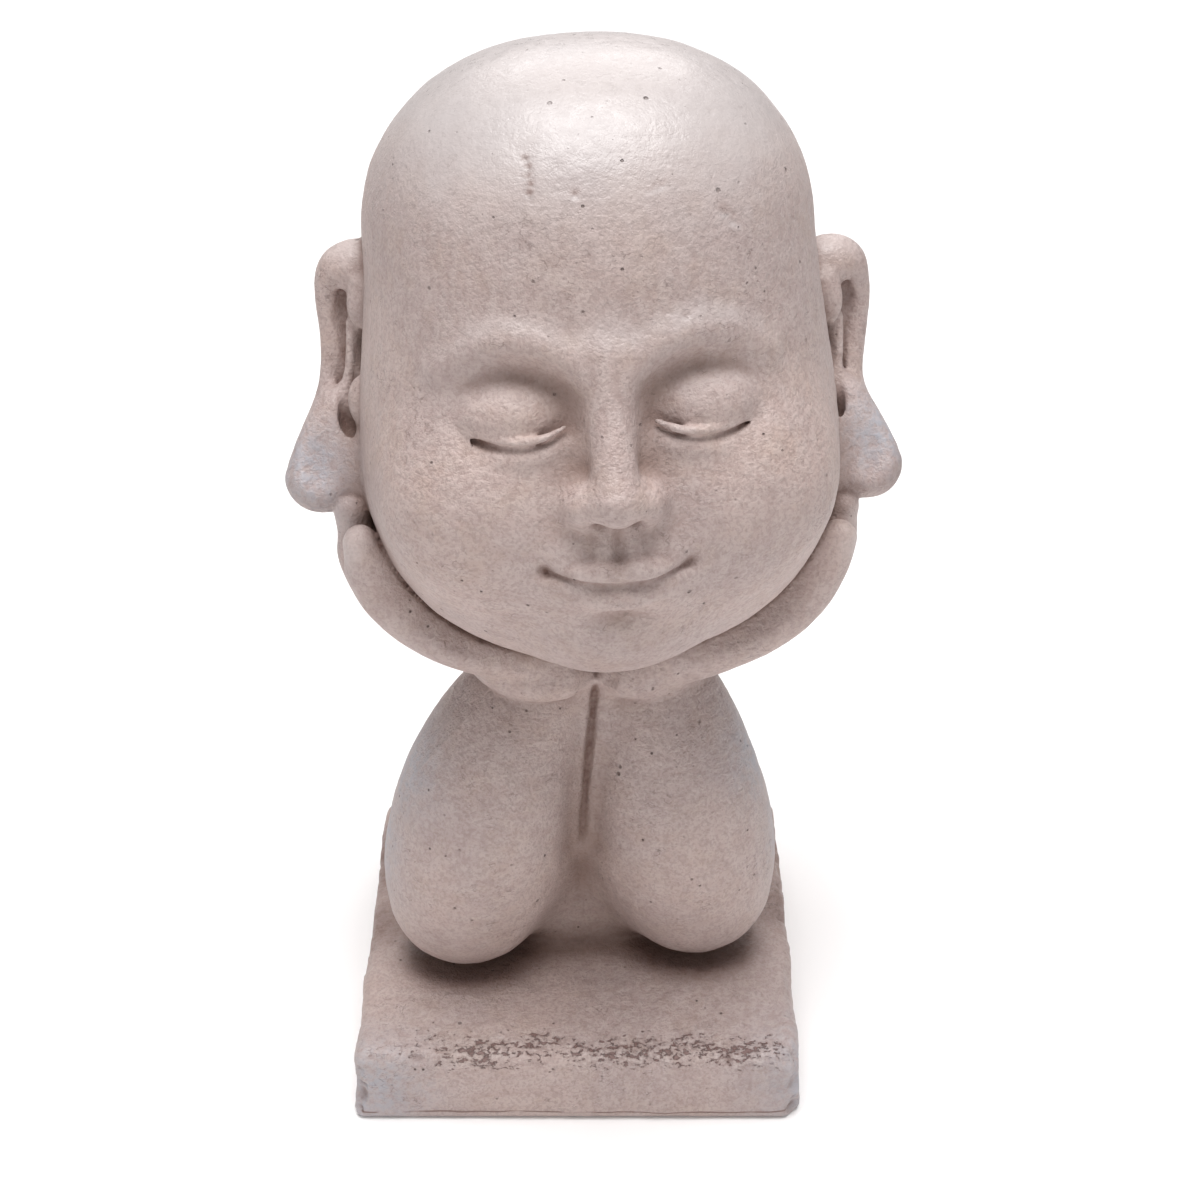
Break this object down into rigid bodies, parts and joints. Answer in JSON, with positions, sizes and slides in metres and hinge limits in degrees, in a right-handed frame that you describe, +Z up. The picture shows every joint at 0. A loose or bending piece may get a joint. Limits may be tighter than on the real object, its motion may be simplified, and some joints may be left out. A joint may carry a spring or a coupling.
{
  "type": "garden statue",
  "caption": "Cast-stone garden statue of a bald, long-eared head resting its jaw in cupped hands, on forearms that stand on a square plinth.",
  "frame": {"origin": "centre of the plinth's underside", "axes": "+Z up, the figure faces -Y, and +X is on the right of someone who faces it"},
  "size_m": [0.1711, 0.154, 0.3037],
  "materials": {
    "cast_stone": "matt cast stone, pale grey with a pink cast, pitted and a little worn, dirt in the grooves"
  },
  "bodies": {
    "root": {"cast_statue": "cast_stone"}
  },
  "joints": []
}
